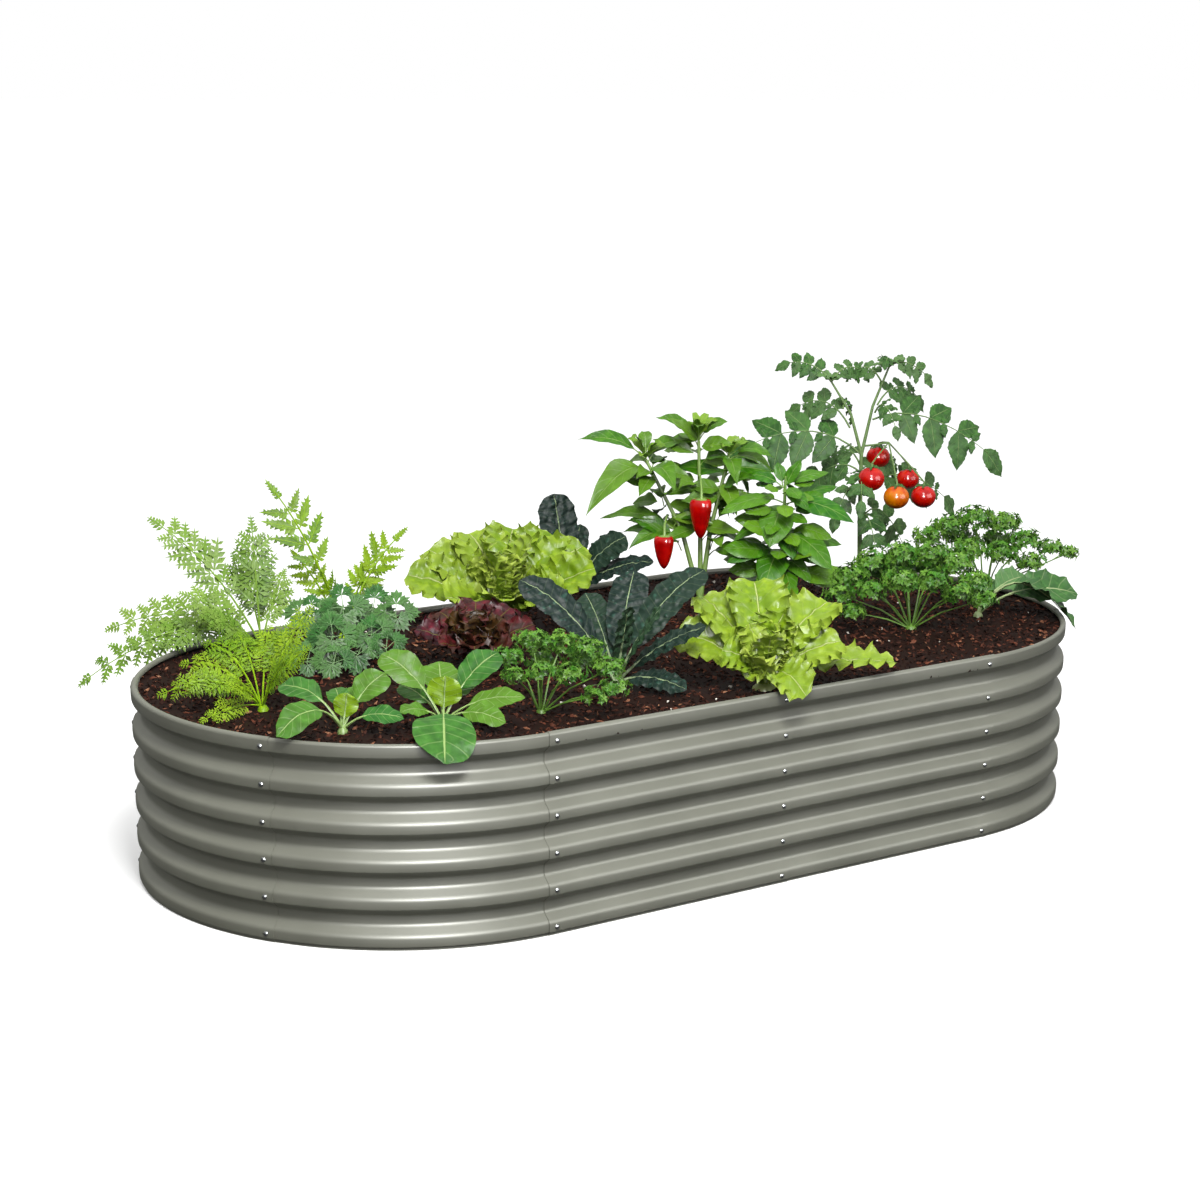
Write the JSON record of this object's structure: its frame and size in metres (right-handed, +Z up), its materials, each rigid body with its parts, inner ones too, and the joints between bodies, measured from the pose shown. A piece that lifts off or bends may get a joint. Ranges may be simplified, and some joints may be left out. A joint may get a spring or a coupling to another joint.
{
  "type": "raised garden bed",
  "caption": "Oval raised garden bed of bolted corrugated sheet panels with a rolled rim, filled with compost and planted with leafy vegetables, herbs, peppers and tomatoes.",
  "frame": {"origin": "on the ground at the centre of the oval", "axes": "+X along the oval's length, -Y towards the front side, +Z up"},
  "size_m": [2.5126, 1.3198, 1.032],
  "materials": {
    "sheet_paint": "satin olive grey paint on corrugated sheet steel",
    "zinc_steel": "bright zinc plated",
    "compost": "dark bark compost, rough and matte",
    "leaf_spinach": "smooth green leaf",
    "leaf_kale": "puckered dark blue green leaf",
    "leaf_lettuce_red": "ruffled maroon leaf",
    "leaf_lettuce_green": "ruffled yellow green leaf",
    "leaf_chard": "broad green leaf",
    "leaf_carrot": "feathery bright green leaf",
    "leaf_chervil": "feathery soft green leaf",
    "leaf_cilantro": "lobed mid green leaf",
    "leaf_parsley": "curled green leaf",
    "leaf_pepper": "smooth green leaf",
    "leaf_basil": "glossy green leaf",
    "leaf_tomato": "hairy green leaf",
    "fruit_pepper_red": "glossy red skin",
    "fruit_tomato_red": "glossy red skin",
    "fruit_tomato_orange": "glossy orange skin"
  },
  "bodies": {
    "root": {"bolts": "zinc_steel", "nuts": "zinc_steel", "panel_back_straight_left": "sheet_paint", "panel_back_straight_right": "sheet_paint", "panel_front_straight_left": "sheet_paint", "panel_front_straight_right": "sheet_paint", "panel_left_back": "sheet_paint", "panel_left_front": "sheet_paint", "panel_left_middle": "sheet_paint", "panel_right_back": "sheet_paint", "panel_right_front": "sheet_paint", "panel_right_middle": "sheet_paint", "peppers": "fruit_pepper_red", "plant_basil": "leaf_basil", "plant_carrot_front": "leaf_carrot", "plant_carrot_tall": "leaf_carrot", "plant_chard": "leaf_chard", "plant_chervil": "leaf_chervil", "plant_cilantro": "leaf_cilantro", "plant_kale_back": "leaf_kale", "plant_kale_front": "leaf_kale", "plant_lettuce_green_back": "leaf_lettuce_green", "plant_lettuce_green_front": "leaf_lettuce_green", "plant_lettuce_red": "leaf_lettuce_red", "plant_parsley_back": "leaf_parsley", "plant_parsley_front": "leaf_parsley", "plant_parsley_middle": "leaf_parsley", "plant_pepper": "leaf_pepper", "plant_spinach_large": "leaf_spinach", "plant_spinach_small": "leaf_spinach", "plant_tomato": "leaf_tomato", "soil": "compost", "tie_rod": "zinc_steel", "tomato_orange": "fruit_tomato_orange", "tomatoes_red": "fruit_tomato_red", "washers": "zinc_steel"}
  },
  "joints": []
}
